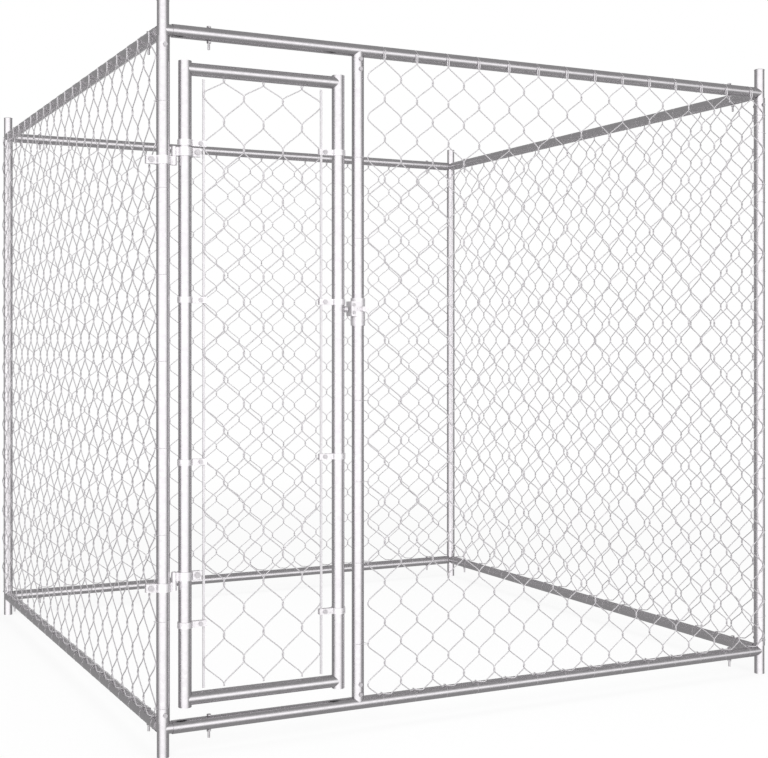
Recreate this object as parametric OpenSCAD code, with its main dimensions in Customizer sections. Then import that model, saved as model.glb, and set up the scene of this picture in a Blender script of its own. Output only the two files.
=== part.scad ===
// Outdoor dog kennel run: a square tube frame with chain-link sides and a hinged door.
// Millimetres, +Z up, origin on the ground under the middle, the door is in the -Y side.

/* [Run] */
// Distance between the corner post axes, along both sides
post_pitch = 1897; // [1500:1:2600]
// Height from the ground to the top of the caps
run_h = 1850; // [1500:1:2400]
// Outside diameter of the posts, frame rails and stiles
tube_d = 33; // [30:0.5:40]
// Outside diameter of the jamb post and the door rails
slim_d = 32; // [28:0.5:38]
// Wall of every tube
tube_wall = 1.2; // [1:0.1:2]
// Height of the bottom rail axis
bottom_rail_z = 70; // [60:1:120]
// Top rail axis below the top of the caps
top_rail_drop = 73; // [60:1:120]
// Gap at a tube end that is coped and welded to another tube
cope_gap = 0.15; // [0.05:0.05:0.3]

/* [Corner fittings] */
// Radial clearance of a fitting in its tube
fit_gap = 0.3; // [0.1:0.05:0.5]
// Wall of the fittings and of the jamb stubs
fit_wall = 1.5; // [1.2:0.1:3]
// Amount by which the side stubs are thinner than the upright
stub_step = 0.4; // [0.2:0.1:1]
// Reach of a side stub from the upright axis
stub_len = 140; // [130:1:200]
// Reach of the upright past the rail axis, into the post
spigot_len = 60; // [50:1:100]
// Solid root of a stub, outside the tube it stands on
stub_root = 3; // [2:0.5:5]
// Gap between a post's side and the rail ends next to it
rail_end_gap = 5.5; // [4:0.5:12]
// Gap between a post's end and the stubs
post_end_gap = 1; // [0.5:0.1:3]
// Reach of a jamb stub from the rail axis
jamb_stub_len = 62; // [60:1:90]
// Thickness of a post cap above the upright
cap_t = 2.5; // [2:0.1:5]
// Amount by which the cap is wider than the upright
cap_lip = 1.5; // [1:0.1:3]
// Depth of the cap's plug
cap_plug = 8; // [5:0.5:20]
// Radial clearance of the cap's plug
cap_gap = 0.2; // [0.1:0.05:0.3]

/* [Fasteners] */
// Diameter of the frame and band bolts
bolt_d = 6; // [5:1:8]
// Width across the flats of their heads and nuts
bolt_af = 10; // [8:1:13]
// Height of their heads
head_h = 4; // [3:0.5:6]
// Height of their nuts
nut_h = 5; // [4:0.5:7]
// Radial clearance of a bolt in its hole
hole_gap = 0.3; // [0.2:0.05:0.5]
// Radial clearance of a bolt in its nut
thread_gap = 0.1; // [0.05:0.05:0.2]
// Gap under a head or a nut
seat_gap = 0.1; // [0.05:0.05:0.3]
// Length of a bolt past its nut
bolt_tail = 3; // [1:0.5:10]
// Length of a rail bolt past its nut
rail_bolt_tail = 16; // [1:0.5:20]
// Rail bolts from the post axes
rail_bolt_at = 118; // [110:1:125]
// Upper post bolts below the top rail axis
post_bolt_drop = 38; // [30:1:45]
// Lower post bolts above the bottom rail axis
post_bolt_rise = 35; // [30:1:45]
// First jamb bolt from its rail axis
jamb_bolt_at = 25; // [24:1:30]
// Distance between the two jamb bolts at one end
jamb_bolt_step = 26; // [20:1:28]

/* [Chain-link] */
// Thickness of the mesh wire
wire_d = 2.2; // [1.8:0.1:3]
// Width of a diamond in the sides
mesh_w = 97.3; // [80:0.1:120]
// Height of a diamond in the sides
mesh_h = 106.7; // [90:0.1:120]
// Width of a diamond in the door
door_mesh_w = 106; // [80:1:140]
// Height of a diamond in the door
door_mesh_h = 128; // [100:1:150]
// Height of the cut row under the door's top rail
door_top_row = 43; // [35:1:60]
// Amount by which a wire bends past the line where it links with the next one
hook = 1.8; // [1.5:0.1:2]
// Gap between linked wires
wire_gap = 0.3; // [0.2:0.05:0.4]
// Gap between the mesh and the frame tubes that it lies on
lay_gap = 0.3; // [0.2:0.05:0.5]
// Amount by which the mesh passes the rail axes
mesh_over = 2.2; // [2.1:0.05:2.3]
// Edge of the mesh inside the corner post axes
edge_in = 1.3; // [1.2:0.05:1.4]
// Edge of the front mesh from the jamb post axis
jamb_edge = 21.3; // [20:0.1:30]
// Gap between the door's mesh and its top rail
mesh_gap = 0.5; // [0.3:0.1:0.9]

/* [Wire ties] */
// Thickness of a tie
tie_d = 2; // [1.5:0.1:2]
// Half the width between the legs of a tie
tie_in = 2.7; // [2.7:0.1:4]
// Gap between a tie and what it holds
tie_gap = 0.3; // [0.2:0.05:0.5]
// Diamonds between two ties of one panel on a post
tie_every = 2; // [2:2:4]

/* [Door] */
// Gap between the front left post and the hinge stile
hinge_gap = 23; // [22:0.5:30]
// Distance between the stile axes
stile_pitch = 416; // [380:1:600]
// Gap between the latch stile and the jamb post
latch_gap = 24.5; // [23:0.5:30]
// Gap under the door, above the bottom rail
door_foot_gap = 29.5; // [20:0.5:60]
// Gap over the door, below the top rail
door_head_gap = 54.5; // [20:0.5:80]
// Length of a stile past the door rail
stile_over = 3; // [2:0.5:20]
// Gap between the door rails and the ends of the tension bars
bar_end_gap = 6; // [3:0.5:12]
// Gap between the bottom door rail and the mesh
door_mesh_gap = 5; // [3:0.5:20]

/* [Tension bars and bands] */
// Tension bar from its stile axis
bar_at = 49; // [48:0.5:60]
// Width of a tension bar
bar_w = 6; // [5:0.5:10]
// Thickness of a tension bar
bar_t = 3; // [2:0.5:4]
// Gap between a bar and the wire in front of it, and its bands
bar_gap = 0.3; // [0.2:0.05:0.4]
// Height of a band
band_h = 15; // [12:0.5:20]
// Thickness of a band
band_t = 2; // [1.5:0.1:3]
// Tail of a band past the bar axis
band_over = 6; // [4:0.5:10]
// Band bolt before the bar axis
band_bolt_at = 10; // [9:0.5:12]
// Lowest band above the door's foot
band_low = 202; // [120:1:240]
// Distance between the bands, up to the highest but one
band_step = 400; // [380:1:420]
// Highest band below the door's head
band_high = 201.5; // [120:0.5:204]

/* [Hinges] */
// Lower hinge above the door's foot
hinge_rise = 310.5; // [260:0.5:340]
// Upper hinge below the door's head
hinge_drop = 236; // [232:1:300]
// Height of a hinge clamp
hinge_h = 21; // [16:0.5:30]
// Thickness of a hinge clamp
hinge_t = 3; // [2.5:0.1:3.5]
// Clearance of a clamp or band round its tube
clamp_gap = 0.2; // [0.1:0.05:0.3]
// Step between a hinge's knuckle end and its clamp
hinge_step = 1; // [0.5:0.1:2]
// Play between the two halves of a hinge
hinge_play = 0.4; // [0.3:0.05:0.6]
// Reach of a post clamp's ears from the post axis
post_ear = 44; // [40:0.5:50]
// Reach of a gate clamp's ears from the stile axis
gate_ear = 41; // [38:0.5:42]
// Gap between the ears
ear_gap = 6; // [4:0.5:8]
// Diameter of a hinge pin
pin_d = 9; // [8:0.5:10]
// Radial clearance of a pin in its barrel
pin_gap = 0.05; // [0.02:0.01:0.08]
// Outside diameter of a knuckle and a barrel
knuckle_d = 14; // [13:0.5:16]
// Width of the arm between a clamp and its knuckle
arm_w = 10; // [8:0.5:12]
// Length of a pin past its barrel
pin_over = 2; // [1:0.5:5]
// Diameter of the hinge clamp bolts
hinge_bolt_d = 8; // [6:1:8]
// Width across the flats of their heads and nuts
hinge_af = 13; // [10:1:13]
// Height of their heads
hinge_head_h = 5.3; // [4:0.1:6]
// Height of their nuts
hinge_nut_h = 6.8; // [5:0.1:8]

/* [Latch] */
// Wall of the latch case round the jamb post
case_wall = 2.8; // [2.5:0.1:4]
// Height of the case
case_h = 72; // [60:1:90]
// Foot of the case below the bolt axis
case_drop = 43; // [30:1:60]
// Reach of the case's block past the jamb post, toward the door
block_reach = 11; // [9:0.5:12]
// Height of the block
block_h = 38; // [34:1:44]
// Foot of the block below the bolt axis
block_drop = 18; // [16:1:20]
// Depth of the block behind the bolt axis
block_back = 13; // [10:0.5:16]
// Width of the clamping slit
slit_w = 1.2; // [0.8:0.1:2]
// Thickness of the cheek in front of the slit
cheek_t = 6; // [5:0.5:7]
// Diameter of the clamp screws
screw_d = 5; // [4:1:5]
// Diameter of their heads
screw_head_d = 8.5; // [7:0.5:10]
// Height of their heads
screw_head_h = 3; // [2:0.5:4]
// Depth of a screw behind the case's front
screw_len = 11; // [9:0.5:11]
// Distance between the screws
screw_pitch = 20; // [16:1:24]
// Screws from the block's door-side face
screw_in = 7; // [6:0.5:8]
// Diameter of the sliding bolt
slide_d = 10; // [8:0.5:10]
// Radial clearance of the sliding bolt in the case
slide_gap = 0.05; // [0.02:0.01:0.08]
// Tail of the sliding bolt past the jamb axis
slide_tail = 12; // [10:0.5:13]
// Diameter of the stud that carries the knob
stud_d = 5; // [4:0.5:6]
// Stud from the jamb axis, with the bolt drawn back
stud_at = 6; // [4:0.5:7]
// Clearance of the stud in its slots
stud_gap = 0.5; // [0.4:0.1:1]
// Diameter of the knob
knob_d = 14; // [12:0.5:20]
// Length of the knob
knob_h = 10.5; // [8:0.5:14]
// Outside diameter of the strike ring
strike_d = 16; // [15:0.5:18]
// Wall of the strike ring
strike_wall = 2; // [1.5:0.1:2]
// Reach of the strike ring from the stile's side
strike_len = 8.5; // [6:0.5:9]
// Gap between the strike ring and the band above it
strike_clear = 2.5; // [1:0.5:6]
// Gap that stays between the shut bolt and the stile
slide_stop = 0.5; // [0.5:0.1:1.5]

/* [Hidden] */
$fn = 64;
over = 1;

a = post_pitch / 2;
top_rail_z = run_h - top_rail_drop;
rail_zs = [bottom_rail_z, top_rail_z];
tube_bore = tube_d - 2 * tube_wall;
slim_bore = slim_d - 2 * tube_wall;
fit_d = tube_bore - 2 * fit_gap;
fit_bore = fit_d - 2 * fit_wall;
stub_d = fit_d - stub_step;
jamb_stub_d = slim_bore - 2 * fit_gap;
rail_end = tube_d / 2 + rail_end_gap;
post_end = stub_d / 2 + post_end_gap;
hole_d = bolt_d + 2 * hole_gap;
post_bolt_zs = [bottom_rail_z + post_bolt_rise, top_rail_z - post_bolt_drop];

hinge_stile_x = -a + tube_d + hinge_gap;
latch_stile_x = hinge_stile_x + stile_pitch;
jamb_x = latch_stile_x + tube_d / 2 + latch_gap + slim_d / 2;
pin_x = -a + (tube_d + hinge_gap) / 2;
pin_reach = pin_x + a;
jamb_bolt_zs = [for (s = [0, jamb_bolt_step], e = [0, 1])
  e == 0 ? bottom_rail_z + jamb_bolt_at + s : top_rail_z - jamb_bolt_at - s];

door_z0 = bottom_rail_z + tube_d / 2 + door_foot_gap;
door_z1 = top_rail_z - tube_d / 2 - door_head_gap;
door_rail_zs = [door_z0 + stile_over + slim_d / 2, door_z1 - stile_over - slim_d / 2];
bar_z0 = door_rail_zs[0] + slim_d / 2 + bar_end_gap;
bar_z1 = door_rail_zs[1] - slim_d / 2 - bar_end_gap;
band_tail_gap = 2 * (wire_gap / 2 + max(bar_t, wire_d) + bar_gap);
band_tail = bar_at + band_over;
band_z0 = door_z0 + band_low;
band_zs = [band_z0, band_z0 + band_step, band_z0 + 2 * band_step, door_z1 - band_high];
hinge_zs = [door_z0 + hinge_rise, door_z1 - hinge_drop];

// panels lie outside the frame: columns are half a diamond wide, rows half a diamond high
mesh_out = tube_d / 2 + lay_gap + wire_d + wire_gap / 2;
mesh_z0 = bottom_rail_z - mesh_over;
mesh_z1 = top_rail_z + mesh_over;
rows = 2 * round((mesh_z1 - mesh_z0) / mesh_h);
row_h = (mesh_z1 - mesh_z0) / rows;
side_span = post_pitch - 2 * edge_in;
side_cols = 2 * round(side_span / mesh_w - 0.5) + 1;
side_col_w = side_span / side_cols;
front_x0 = jamb_x + jamb_edge;
front_span = a - edge_in - front_x0;
front_cols = 2 * round(front_span / mesh_w);
front_col_w = front_span / front_cols;

// ties: from the tube's axis to the middle of the closed end, and the same at the jamb post,
// where a tie runs aslant to the edge wire
tie_reach = mesh_out + wire_gap / 2 + wire_d + tie_gap + tie_d / 2;
jamb_wire = [jamb_edge - edge_in, -mesh_out - (wire_d + wire_gap) / 2];
jamb_reach = norm(jamb_wire) + tie_in + tie_d / 2;

// mesh of the door: its top row is cut short
door_mesh_z0 = door_rail_zs[0] + slim_d / 2 + door_mesh_gap;
door_mesh_z1 = door_rail_zs[1] - slim_d / 2 - mesh_gap;
door_full_h = door_mesh_z1 - door_top_row - door_mesh_z0;
door_rows = 2 * round(door_full_h / door_mesh_h + 0.5);
door_row_h = door_full_h / (door_rows - 1);
door_span = stile_pitch - 2 * bar_at;
door_cols = 2 * round(door_span / door_mesh_w);
door_col_w = door_span / door_cols;

// latch: the sliding bolt lies just under the third band
latch_z = band_zs[2] - band_h / 2 - strike_d / 2 - strike_clear;
case_r = slim_d / 2 + case_wall + clamp_gap;
block_x = -slim_d / 2 - block_reach;
slide_travel = latch_gap - block_reach - slide_stop;
slit_y = -case_r + cheek_t;
screw_zs = [for (s = [-0.5, 0.5]) latch_z - block_drop + block_h / 2 + s * screw_pitch];
stud_slot_w = stud_d + 2 * stud_gap;

// fasteners on Z, head up, through a stack of thickness grip centred on 0
module bolt(d, af, head, nut, grip, tail) {
  top = grip / 2 + seat_gap;
  translate([0, 0, top]) cylinder(d = af / cos(30), h = head, $fn = 6);
  translate([0, 0, -top - nut - tail]) cylinder(d = d, h = 2 * top + nut + tail);
}

module nut(d, af, h, grip) {
  translate([0, 0, -grip / 2 - seat_gap - h])
    difference() {
      cylinder(d = af / cos(30), h = h, $fn = 6);
      translate([0, 0, -over]) cylinder(d = d + 2 * thread_gap, h = h + 2 * over);
    }
}

module at_rail_bolts()
  for (sx = [-1, 1], sy = [-1, 1], z = rail_zs) {
    translate([sx * (a - rail_bolt_at), sy * a, z]) children();
    translate([sx * a, sy * (a - rail_bolt_at), z]) children();
  }

module at_post_bolts()
  for (sx = [-1, 1], sy = [-1, 1], z = post_bolt_zs)
    translate([sx * a, sy * a, z]) rotate([-90 * sy, 0, 0]) children();

module at_jamb_bolts()
  for (z = jamb_bolt_zs)
    translate([jamb_x, -a, z]) rotate([90, 0, 0]) children();

// frame tubes
module post(sx, sy) {
  z0 = bottom_rail_z + post_end;
  z1 = top_rail_z - post_end;
  color("gainsboro")
    translate([sx * a, sy * a, 0])
      difference() {
        translate([0, 0, z0]) cylinder(d = tube_d, h = z1 - z0);
        translate([0, 0, z0 - over]) cylinder(d = tube_bore, h = z1 - z0 + 2 * over);
        for (z = post_bolt_zs)
          translate([0, 0, z]) rotate([90, 0, 0]) cylinder(d = hole_d, h = 2 * tube_d, center = true);
      }
}

// three-way fitting whose stubs point along dx on X and dy on Y at z = 0
module fitting(dx, dy, low, high, bolt_z) {
  difference() {
    union() {
      translate([0, 0, low]) cylinder(d = fit_d, h = high - low);
      rotate([0, 90 * dx, 0]) cylinder(d = stub_d, h = stub_len);
      rotate([-90 * dy, 0, 0]) cylinder(d = stub_d, h = stub_len);
    }
    translate([0, 0, low - over]) cylinder(d = fit_bore, h = high - low + 2 * over);
    translate([dx * (fit_d / 2 + stub_root), 0, 0])
      rotate([0, 90 * dx, 0]) cylinder(d = stub_d - 2 * fit_wall, h = stub_len);
    translate([0, dy * (fit_d / 2 + stub_root), 0])
      rotate([-90 * dy, 0, 0]) cylinder(d = stub_d - 2 * fit_wall, h = stub_len);
    translate([dx * rail_bolt_at, 0, 0]) cylinder(d = hole_d, h = 2 * stub_d, center = true);
    translate([0, dy * rail_bolt_at, 0]) cylinder(d = hole_d, h = 2 * stub_d, center = true);
    translate([0, 0, bolt_z]) rotate([90, 0, 0]) cylinder(d = hole_d, h = 2 * fit_d, center = true);
  }
}

module top_fitting(sx, sy)
  color("silver")
    translate([sx * a, sy * a, top_rail_z])
      fitting(-sx, -sy, -spigot_len, top_rail_drop - cap_t, -post_bolt_drop);

module bottom_fitting(sx, sy)
  color("silver")
    translate([sx * a, sy * a, bottom_rail_z])
      fitting(-sx, -sy, -bottom_rail_z, spigot_len, post_bolt_rise);

module post_caps()
  color("silver")
    for (sx = [-1, 1], sy = [-1, 1])
      translate([sx * a, sy * a, run_h - cap_t]) {
        translate([0, 0, -cap_plug]) cylinder(d = fit_bore - 2 * cap_gap, h = cap_plug);
        cylinder(d = fit_d + cap_lip, h = cap_t / 2);
        translate([0, 0, cap_t / 2]) cylinder(d1 = fit_d + cap_lip, d2 = fit_bore, h = cap_t / 2);
      }

// rail on X from post to post, its two bolt holes upright
module rail_cut() {
  translate([rail_end - over, 0, 0])
    rotate([0, 90, 0]) cylinder(d = tube_bore, h = post_pitch - 2 * rail_end + 2 * over);
  for (x = [rail_bolt_at, post_pitch - rail_bolt_at])
    translate([x, 0, 0]) cylinder(d = hole_d, h = 2 * tube_d, center = true);
}

module rail_tube()
  translate([rail_end, 0, 0]) rotate([0, 90, 0]) cylinder(d = tube_d, h = post_pitch - 2 * rail_end);

module plain_rail()
  difference() {
    rail_tube();
    rail_cut();
  }

// front rail with the stub that the jamb post slips on, up is 1 or -1
module jamb_rail(up) {
  x = jamb_x + a;
  root = tube_d / 2 + stub_root;
  difference() {
    union() {
      rail_tube();
      translate([x, 0, up > 0 ? 0 : -jamb_stub_len]) cylinder(d = jamb_stub_d, h = jamb_stub_len);
    }
    rail_cut();
    translate([x, 0, up > 0 ? root : -jamb_stub_len - over])
      cylinder(d = jamb_stub_d - 2 * fit_wall, h = jamb_stub_len - root + over);
    for (s = [0, jamb_bolt_step])
      translate([x, 0, up * (jamb_bolt_at + s)])
        rotate([90, 0, 0]) cylinder(d = hole_d, h = 2 * tube_d, center = true);
  }
}

module on_front(z) translate([-a, -a, z]) children();

module on_rear(z) translate([-a, a, z]) children();

module on_left(z) translate([-a, -a, z]) rotate([0, 0, 90]) children();

module on_right(z) translate([a, -a, z]) rotate([0, 0, 90]) children();

// slot on X for the latch stud, cut forward from the bolt axis
module stud_slot() {
  for (x = [stud_at - slide_travel, stud_at])
    translate([x, 0, 0]) rotate([90, 0, 0]) cylinder(d = stud_slot_w, h = tube_d);
  translate([stud_at - slide_travel, -tube_d, -stud_slot_w / 2])
    cube([slide_travel, tube_d, stud_slot_w]);
}

module jamb_post()
  color("gainsboro")
    translate([jamb_x, -a, 0])
      difference() {
        translate([0, 0, bottom_rail_z]) cylinder(d = slim_d, h = top_rail_z - bottom_rail_z);
        translate([0, 0, bottom_rail_z - over])
          cylinder(d = slim_bore, h = top_rail_z - bottom_rail_z + 2 * over);
        for (z = rail_zs)
          translate([0, 0, z])
            rotate([0, 90, 0]) cylinder(d = tube_d + 2 * cope_gap, h = 2 * tube_d, center = true);
        for (z = jamb_bolt_zs)
          translate([0, 0, z]) rotate([90, 0, 0]) cylinder(d = hole_d, h = 2 * tube_d, center = true);
        translate([-slim_d, 0, latch_z]) rotate([0, 90, 0]) cylinder(d = slide_d + 2 * stud_gap, h = slim_d);
        translate([0, 0, latch_z]) stud_slot();
      }

module frame_bolts()
  color("dimgray") {
    at_rail_bolts() bolt(bolt_d, bolt_af, head_h, nut_h, tube_d, rail_bolt_tail);
    at_post_bolts() bolt(bolt_d, bolt_af, head_h, nut_h, tube_d, bolt_tail);
    at_jamb_bolts() bolt(bolt_d, bolt_af, head_h, nut_h, slim_d, bolt_tail);
  }

module frame_nuts()
  color("dimgray") {
    at_rail_bolts() nut(bolt_d, bolt_af, nut_h, tube_d);
    at_post_bolts() nut(bolt_d, bolt_af, nut_h, tube_d);
    at_jamb_bolts() nut(bolt_d, bolt_af, nut_h, slim_d);
  }

// chain-link: each wire is a flat zigzag, and every second one lies behind its neighbours.
// Wire i bends between column lines i and i + 1, to the left at row j where i + j + p is odd.
// The rows are rh high, and the last one top
function bend_x(i, j, p, cw) = (i + j + p) % 2 == 1 ? i * cw - hook : (i + 1) * cw + hook;
function bend_z(j, n, rh, top) = j < n ? j * rh : (n - 1) * rh + top;

module picket(i, n, p, cw, rh, top) {
  half = wire_d / 2 * norm([1, (cw + 2 * hook) / rh]);
  up = [for (j = [0 : n]) [bend_x(i, j, p, cw) - half, bend_z(j, n, rh, top)]];
  down = [for (j = [n : -1 : 0]) [bend_x(i, j, p, cw) + half, bend_z(j, n, rh, top)]];
  rotate([90, 0, 0]) linear_extrude(wire_d, center = true) polygon(concat(up, down));
}

module fabric(cols, n, p, cw, rh, top)
  color("lightgray")
    for (i = [0 : cols - 1])
      translate([0, (i % 2 == 0 ? -1 : 1) * (wire_d + wire_gap) / 2, 0]) picket(i, n, p, cw, rh, top);

// wire tie round a tube on Z: a ring whose two legs run along +X and join past the mesh wires
module tie(d, reach) {
  r = d / 2 + tie_gap;
  difference() {
    union() {
      cylinder(r = r + tie_d, h = tie_d, center = true);
      translate([0, -tie_in - tie_d, -tie_d / 2]) cube([reach + tie_d / 2, 2 * (tie_in + tie_d), tie_d]);
    }
    cylinder(r = r, h = tie_d + 2 * over, center = true);
    translate([0, -tie_in, -tie_d / 2 - over]) cube([reach - tie_d / 2, 2 * tie_in, tie_d + 2 * over]);
  }
}

// ties of a panel on both rails, where its wires meet, with the mesh on the side of out
module rail_ties(x0, cols, p, cw, out)
  color("lightgray")
    for (k = [1 + p : 2 : cols - 1], z = rail_zs)
      translate([x0 + k * cw, 0, z])
        rotate([0, 90, 0]) rotate([0, 0, 90 * out]) tie(tube_d, tie_reach);

// ties of a panel on a post of diameter d, from row j0 on but for the spans given
function is_clear(z, spans) =
  len([for (s = spans) if (z > s[0] - tie_d && z < s[1] + tie_d) s]) == 0;

module post_ties(x, d, turn, reach, j0, spans)
  color("lightgray")
    for (j = [j0 : 2 * tie_every : rows - 1])
      if (is_clear(mesh_z0 + j * row_h, spans))
        translate([x, 0, mesh_z0 + j * row_h]) rotate([0, 0, turn]) tie(d, reach);

module side_ties(out, p, j0, j1, spans) {
  rail_ties(edge_in, side_cols, p, side_col_w, out);
  post_ties(0, tube_d, 90 * out, tie_reach, j0, spans);
  post_ties(post_pitch, tube_d, 90 * out, tie_reach, j1, []);
}

// clamp round a tube on Z, its two ears toward +X up to reach
module pipe_clamp(d, t, h, reach, gap, bolt_x, hole)
  difference() {
    union() {
      cylinder(d = d + 2 * (clamp_gap + t), h = h);
      translate([0, -gap / 2 - t, 0]) cube([reach, gap + 2 * t, h]);
    }
    translate([0, 0, -over]) cylinder(d = d + 2 * clamp_gap, h = h + 2 * over);
    translate([0, -gap / 2, -over]) cube([reach + over, gap, h + 2 * over]);
    translate([bolt_x, 0, h / 2])
      rotate([90, 0, 0]) cylinder(d = hole, h = gap + 2 * t + 2 * over, center = true);
  }

// hinge halves: the arm starts inside the wall of the clamp's ring
arm_from = tube_d / 2 + clamp_gap + hinge_t / 2;
hinge_hole = hinge_bolt_d + 2 * hole_gap;
post_bolt_x = (post_ear + tube_d / 2 + clamp_gap + hinge_t) / 2;
gate_bolt_x = (gate_ear + tube_d / 2 + clamp_gap + hinge_t) / 2;
gate_z = hinge_play + hinge_step;

module post_hinge(z)
  color("silver")
    translate([-a, -a, z - hinge_step - hinge_h]) {
      rotate([0, 0, 180]) pipe_clamp(tube_d, hinge_t, hinge_h, post_ear, ear_gap, post_bolt_x, hinge_hole);
      translate([arm_from, -arm_w / 2, 0]) cube([pin_reach - arm_from, arm_w, hinge_h]);
      translate([pin_reach, 0, 0]) {
        cylinder(d = knuckle_d, h = hinge_h + hinge_step);
        cylinder(d = pin_d, h = 2 * (hinge_h + hinge_step) + hinge_play + pin_over);
      }
    }

module gate_hinge(z)
  color("silver")
    translate([hinge_stile_x, -a, z])
      difference() {
        union() {
          translate([0, 0, gate_z])
            pipe_clamp(tube_d, hinge_t, hinge_h, gate_ear, ear_gap, gate_bolt_x, hinge_hole);
          translate([-pin_reach, -arm_w / 2, gate_z]) cube([pin_reach - arm_from, arm_w, hinge_h]);
          translate([-pin_reach, 0, hinge_play]) cylinder(d = knuckle_d, h = hinge_h + hinge_step);
        }
        translate([-pin_reach, 0, hinge_play - over])
          cylinder(d = pin_d + 2 * pin_gap, h = hinge_h + hinge_step + 2 * over);
      }

module at_post_hinge_bolts()
  for (z = hinge_zs)
    translate([-a - post_bolt_x, -a, z - hinge_step - hinge_h / 2]) rotate([90, 0, 0]) children();

module at_gate_hinge_bolts()
  for (z = hinge_zs)
    translate([hinge_stile_x + gate_bolt_x, -a, z + gate_z + hinge_h / 2]) rotate([90, 0, 0]) children();

module post_hinge_bolts()
  color("dimgray")
    at_post_hinge_bolts()
      bolt(hinge_bolt_d, hinge_af, hinge_head_h, hinge_nut_h, ear_gap + 2 * hinge_t, bolt_tail);

module post_hinge_nuts()
  color("dimgray")
    at_post_hinge_bolts() nut(hinge_bolt_d, hinge_af, hinge_nut_h, ear_gap + 2 * hinge_t);

module gate_hinge_bolts()
  color("dimgray")
    at_gate_hinge_bolts()
      bolt(hinge_bolt_d, hinge_af, hinge_head_h, hinge_nut_h, ear_gap + 2 * hinge_t, bolt_tail);

module gate_hinge_nuts()
  color("dimgray")
    at_gate_hinge_bolts() nut(hinge_bolt_d, hinge_af, hinge_nut_h, ear_gap + 2 * hinge_t);

// latch case: a split clamp on the jamb post with a block that guides the sliding bolt
module latch_case()
  color("silver")
    translate([jamb_x, -a, 0])
      difference() {
        union() {
          translate([0, 0, latch_z - case_drop]) cylinder(r = case_r, h = case_h);
          translate([block_x, -case_r, latch_z - block_drop]) cube([-block_x, case_r + block_back, block_h]);
        }
        translate([0, 0, latch_z - case_drop - over])
          cylinder(d = slim_d + 2 * clamp_gap, h = case_h + 2 * over);
        translate([block_x - over, slit_y, latch_z - case_drop - over])
          cube([-block_x + over, slit_w, case_h + 2 * over]);
        translate([block_x - over, 0, latch_z])
          rotate([0, 90, 0]) cylinder(d = slide_d + 2 * slide_gap, h = -block_x + over);
        for (z = screw_zs)
          translate([block_x + screw_in, -case_r + screw_len + slide_stop, z])
            rotate([90, 0, 0]) cylinder(d = screw_d + 2 * thread_gap, h = screw_len + slide_stop + over);
        translate([0, 0, latch_z]) stud_slot();
      }

module latch_screws()
  color("dimgray")
    for (z = screw_zs)
      translate([jamb_x + block_x + screw_in, -a - case_r, z])
        rotate([90, 0, 0]) {
          translate([0, 0, -screw_len]) cylinder(d = screw_d, h = screw_len + seat_gap);
          translate([0, 0, seat_gap]) cylinder(d = screw_head_d, h = screw_head_h);
        }

// sliding bolt, drawn back
module latch_bolt()
  color("gainsboro")
    translate([jamb_x, -a, latch_z]) {
      translate([block_x, 0, 0]) rotate([0, 90, 0]) cylinder(d = slide_d, h = slide_tail - block_x);
      translate([stud_at, 0, 0]) rotate([90, 0, 0]) {
          cylinder(d = stud_d, h = case_r + stud_gap + knob_h / 2);
          translate([0, 0, case_r + stud_gap]) cylinder(d = knob_d, h = knob_h);
        }
    }

// door
module stile(x)
  color("gainsboro")
    translate([x, -a, door_z0])
      difference() {
        cylinder(d = tube_d, h = door_z1 - door_z0);
        translate([0, 0, -over]) cylinder(d = tube_bore, h = door_z1 - door_z0 + 2 * over);
      }

module door_rail(z)
  color("gainsboro")
    translate([hinge_stile_x, -a, z])
      difference() {
        rotate([0, 90, 0]) cylinder(d = slim_d, h = stile_pitch);
        translate([-over, 0, 0]) rotate([0, 90, 0]) cylinder(d = slim_bore, h = stile_pitch + 2 * over);
        for (x = [0, stile_pitch])
          translate([x, 0, 0]) cylinder(d = tube_d + 2 * cope_gap, h = 2 * slim_d, center = true);
      }

module door_mesh()
  translate([hinge_stile_x + bar_at, -a, door_mesh_z0])
    fabric(door_cols, door_rows, 0, door_col_w, door_row_h, door_top_row);

// the bars lie in the layer beside the outer wires, one behind and one in front
module bar(x, y0)
  color("silver")
    translate([x - bar_w / 2, -a + y0, bar_z0]) cube([bar_w, bar_t, bar_z1 - bar_z0]);

module hinge_side_bar() bar(hinge_stile_x + bar_at, wire_gap / 2);

module latch_side_bar() bar(latch_stile_x - bar_at, -wire_gap / 2 - bar_t);

module bands(x, turn)
  color("silver")
    for (z = band_zs)
      translate([x, -a, z - band_h / 2])
        rotate([0, 0, turn])
          pipe_clamp(tube_d, band_t, band_h, band_tail, band_tail_gap, bar_at - band_bolt_at, hole_d);

module at_band_bolts()
  for (z = band_zs) {
    translate([hinge_stile_x + bar_at - band_bolt_at, -a, z]) rotate([90, 0, 0]) children();
    translate([latch_stile_x - bar_at + band_bolt_at, -a, z]) rotate([90, 0, 0]) children();
  }

module band_bolts()
  color("dimgray")
    at_band_bolts() bolt(bolt_d, bolt_af, head_h, nut_h, band_tail_gap + 2 * band_t, bolt_tail);

module band_nuts()
  color("dimgray")
    at_band_bolts() nut(bolt_d, bolt_af, nut_h, band_tail_gap + 2 * band_t);

module strike_ring()
  color("silver")
    translate([latch_stile_x, -a, latch_z])
      difference() {
        rotate([0, 90, 0]) cylinder(d = strike_d, h = tube_d / 2 + strike_len);
        rotate([0, 90, 0]) cylinder(d = strike_d - 2 * strike_wall, h = tube_d / 2 + strike_len + over);
        cylinder(d = tube_d + 2 * cope_gap, h = 2 * strike_d, center = true);
      }

// one module for each remaining node
module post_front_left() post(-1, -1);

module post_front_right() post(1, -1);

module post_rear_left() post(-1, 1);

module post_rear_right() post(1, 1);

module fitting_top_front_left() top_fitting(-1, -1);

module fitting_top_front_right() top_fitting(1, -1);

module fitting_top_rear_left() top_fitting(-1, 1);

module fitting_top_rear_right() top_fitting(1, 1);

module fitting_bottom_front_left() bottom_fitting(-1, -1);

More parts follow.
